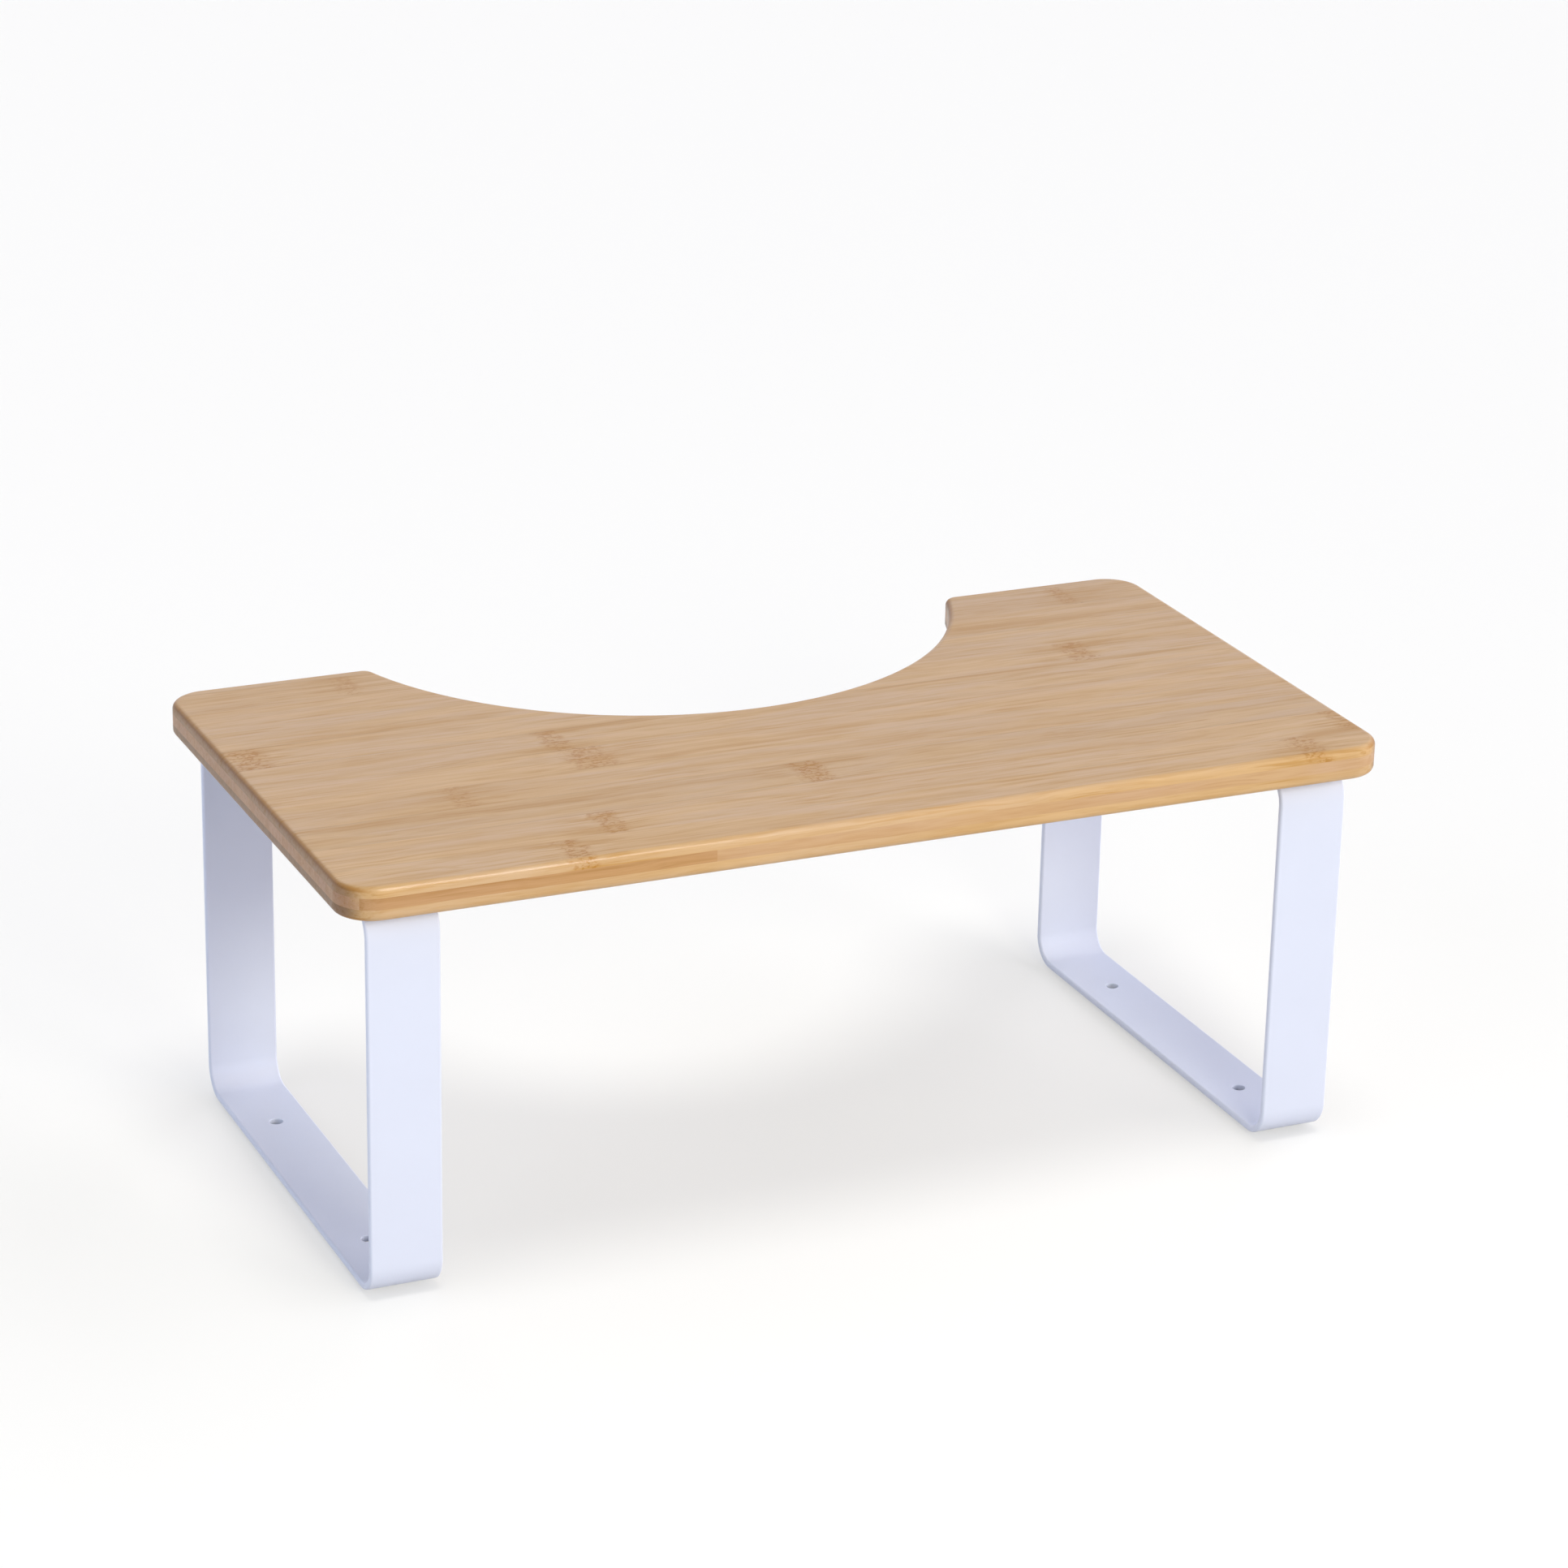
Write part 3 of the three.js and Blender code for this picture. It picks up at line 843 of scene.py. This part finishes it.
def pad(side, end):
    """A thin pad with rounded corners, its lower edge rounded over."""
    node = f"{side}_{end}_pad"
    low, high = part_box(node)
    middle = (low + high) / 2
    profile = []
    for angle in quarter_turn(PAD_EDGE_STEPS):
        level = low.z + PAD_EDGE_RADIUS * (1 - math.cos(angle))
        profile.append((level, PAD_EDGE_RADIUS * (1 - math.sin(angle))))
    profile.append((high.z, 0.0))
    rings = []
    for level, inset in profile:
        size_x = high.x - low.x - 2 * inset
        size_y = high.y - low.y - 2 * inset
        outline = rounded_rectangle(size_x, size_y, PAD_CORNER_RADIUS - inset, PAD_STEPS)
        rings.append([(middle.x + x, middle.y + y, level) for x, y in outline])
    dress(loft(f"fine_{node}", rings), node, "pad", foam)


face_ply("bottom_ply", bottom_bamboo)
face_ply("top_ply", top_bamboo)
for node in sorted(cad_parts):
    if node == "core_stave_1_dark":
        core_stave(node, "board_core_dark", dark_bamboo)
    elif node.startswith("core_stave"):
        core_stave(node, "board_core", core_bamboo)
for side in SIDES:
    bar_frame(side)
    for end in ENDS:
        screw(side, end)
        pad(side, end)


# Camera: found from the straight edges in the photograph, aimed near the top face's middle
CAMERA_AZIMUTH = math.radians(-24.181)
CAMERA_ELEVATION = math.radians(20.931)
CAMERA_ROLL = math.radians(-1.179)
CAMERA_DISTANCE = 2.0607
CAMERA_RIGHT = 0.0053
CAMERA_DOWN = 0.02885
FOCAL_LENGTH_PIXELS = 5771.9
FRAME_PIXELS = 1932
SENSOR_MM = 36.0


def direction_to(azimuth, elevation):
    """The way from the object to a camera or a lamp. Azimuth goes from the front to the right."""
    flat = math.cos(elevation)
    return Vector((math.sin(azimuth) * flat, -math.cos(azimuth) * flat, math.sin(elevation)))


def place_camera():
    """The camera that took the photograph, as the fit found it."""
    back = direction_to(CAMERA_AZIMUTH, CAMERA_ELEVATION)
    level_right = Vector((math.cos(CAMERA_AZIMUTH), math.sin(CAMERA_AZIMUTH), 0.0))
    level_down = level_right.cross(back)
    c = math.cos(CAMERA_ROLL)
    s = math.sin(CAMERA_ROLL)
    right = c * level_right + s * level_down
    down = c * level_down - s * level_right
    target = Vector((0.0, 0.0, board_high.z))
    data = bpy.data.cameras.new("camera")
    data.sensor_width = SENSOR_MM
    data.lens = FOCAL_LENGTH_PIXELS / FRAME_PIXELS * SENSOR_MM
    camera = bpy.data.objects.new("camera", data)
    camera.location = target + back * CAMERA_DISTANCE + right * CAMERA_RIGHT + down * CAMERA_DOWN
    camera.rotation_mode = "QUATERNION"
    camera.rotation_quaternion = Matrix((right, -down, back)).transposed().to_quaternion()
    bpy.context.scene.collection.objects.link(camera)
    bpy.context.scene.camera = camera


# Light: wide lamps far away, a softbox nearer by and a faint sky. Strengths are shares of the
# full level, at which a surface that faces the light shows its colour as written.
FULL_LEVEL = math.pi
SKY_LIGHT = (0.06, 0.06, 0.08, 1.0)
SKY_SEEN = (1.0, 1.0, 1.0, 1.0)
SKY_MIRRORED = (0.80, 0.90, 1.20, 1.0)

# Floor: its colour as a source of bounced light, and as it is seen, with a lift up to white
FLOOR_BOUNCE = (0.45, 0.45, 0.48, 1.0)
FLOOR_SEEN = (0.37, 0.365, 0.345, 1.0)
FLOOR_LIFT = 0.52
FLOOR_HALF_SIZE = 9.0

# Far lamps: azimuth, elevation and spread in degrees, share of the full level, and tint
FAR_LAMPS = {
    "front_right": (40, 15, 30, 0.44, (1.0, 0.96, 1.0)),
    "right_side": (95, 24, 80, 0.84, (0.88, 0.88, 1.0)),
    "left_side": (-75, 15, 60, 0.54, (0.79, 0.84, 1.0)),
    "back_left": (215, 35, 60, 0.12, (0.80, 0.90, 1.0)),
    "behind": (180, 10, 30, 0.30, (1.0, 1.0, 1.0)),
    "overhead": (0, 82, 24, 0.07, (1.0, 1.0, 0.90)),
}

# A second lamp above lights the floor alone, which then shows the stool's shadow
FLOOR_LAMP = (0, 82, 24, 0.42, (1.0, 1.0, 1.0))

# The softbox in front, a little above the camera
SOFTBOX_AZIMUTH = 0
SOFTBOX_ELEVATION = 25
SOFTBOX_DISTANCE = 1.6
SOFTBOX_SIZE = 0.3
SOFTBOX_SHARE = 0.29
SOFTBOX_TINT = (1.0, 1.0, 0.85)

# A panel that shows as a glint on the board's rounded edge near its left front corner
PANEL_AZIMUTH = 22
PANEL_ELEVATION = 50
PANEL_DISTANCE = 3.0
PANEL_WIDTH = 0.95
PANEL_HEIGHT = 1.9
PANEL_RADIANCE = 16.0


def hang(name, data, direction, place):
    """Puts a lamp in its place, turned so that it shines back along the direction."""
    lamp = bpy.data.objects.new(name, data)
    lamp.location = place
    lamp.rotation_mode = "QUATERNION"
    lamp.rotation_quaternion = direction.to_track_quat("Z", "Y")
    lamp.visible_camera = False
    bpy.context.scene.collection.objects.link(lamp)
    return lamp


def place_far_lamp(name, azimuth, elevation, spread, share, tint):
    """A wide lamp far away, which lights the object and isn't mirrored in it."""
    data = bpy.data.lights.new(name, "SUN")
    data.color = tint
    data.energy = share * FULL_LEVEL
    data.angle = math.radians(spread)
    direction = direction_to(math.radians(azimuth), math.radians(elevation))
    lamp = hang(name, data, direction, Vector())
    lamp.visible_glossy = False
    return lamp


def place_softbox():
    """A square lamp near the object, brighter on the faces that it stands closer to."""
    data = bpy.data.lights.new("softbox", "AREA")
    data.color = SOFTBOX_TINT
    data.size = SOFTBOX_SIZE
    data.energy = SOFTBOX_SHARE * FULL_LEVEL * math.pi * SOFTBOX_DISTANCE**2
    direction = direction_to(math.radians(SOFTBOX_AZIMUTH), math.radians(SOFTBOX_ELEVATION))
    middle = Vector((0.0, 0.0, board_high.z / 2))
    lamp = hang("softbox", data, direction, middle + direction * SOFTBOX_DISTANCE)
    lamp.visible_glossy = False


def place_panel():
    """A panel that only the board's lacquer mirrors, turned to the left front corner."""
    data = bpy.data.lights.new("panel", "AREA")
    data.shape = "RECTANGLE"
    data.size = PANEL_WIDTH
    data.size_y = PANEL_HEIGHT
    data.energy = PANEL_RADIANCE * math.pi * PANEL_WIDTH * PANEL_HEIGHT
    direction = direction_to(math.radians(PANEL_AZIMUTH), math.radians(PANEL_ELEVATION))
    corner = Vector((board_low.x, board_low.y, board_high.z))
    lamp = hang("panel", data, direction, corner + direction * PANEL_DISTANCE)
    lamp.visible_diffuse = False
    lamp.light_linking.receiver_collection = lacquered


def light_sky():
    """An even sky: white where it is looked at, and cooler where a glossy face mirrors it."""
    world = bpy.data.worlds.new("studio")
    bpy.context.scene.world = world
    g = Graph(world)
    colour = g.mix(g.any_ray("Glossy"), SKY_LIGHT, SKY_MIRRORED)
    colour = g.mix(g.any_ray("Camera", "Transmission"), colour, SKY_SEEN)
    g.feed(g.nodes["Background"].inputs["Color"], colour)


def floor_white():
    """A matt floor that is lifted to white where it is seen, and bounces less light than that."""
    g = Graph(bpy.data.materials.new("floor_white"))
    g.nodes.remove(g.shader)
    seen = g.any_ray("Camera", "Glossy", "Transmission")
    matt = g.add("BsdfDiffuse", {"Color": g.mix(seen, FLOOR_BOUNCE, FLOOR_SEEN)})
    glow = g.add("Emission", {"Strength": g.math("MULTIPLY", seen, FLOOR_LIFT)})
    both = g.add("AddShader", enumerate((matt.outputs["BSDF"], glow.outputs["Emission"])))
    g.feed(g.nodes["Material Output"].inputs["Surface"], both.outputs["Shader"])
    return g.owner


def lay_floor():
    """A wide plain floor, with the lamp that lights nothing else."""
    s = FLOOR_HALF_SIZE
    corners = [(-s, -s, 0.0), (s, -s, 0.0), (s, s, 0.0), (-s, s, 0.0)]
    mesh = bpy.data.meshes.new("floor")
    mesh.from_pydata(corners, [], [(0, 1, 2, 3)])
    mesh.materials.append(floor_white())
    floor = bpy.data.objects.new("floor", mesh)
    bpy.context.scene.collection.objects.link(floor)
    lit = bpy.data.collections.new("lit_from_above")
    lit.objects.link(floor)
    place_far_lamp("above_floor", *FLOOR_LAMP).light_linking.receiver_collection = lit


place_camera()
light_sky()
lay_floor()
for name, settings in FAR_LAMPS.items():
    place_far_lamp(name, *settings)
place_softbox()
place_panel()
bpy.context.scene.view_settings.view_transform = "Standard"
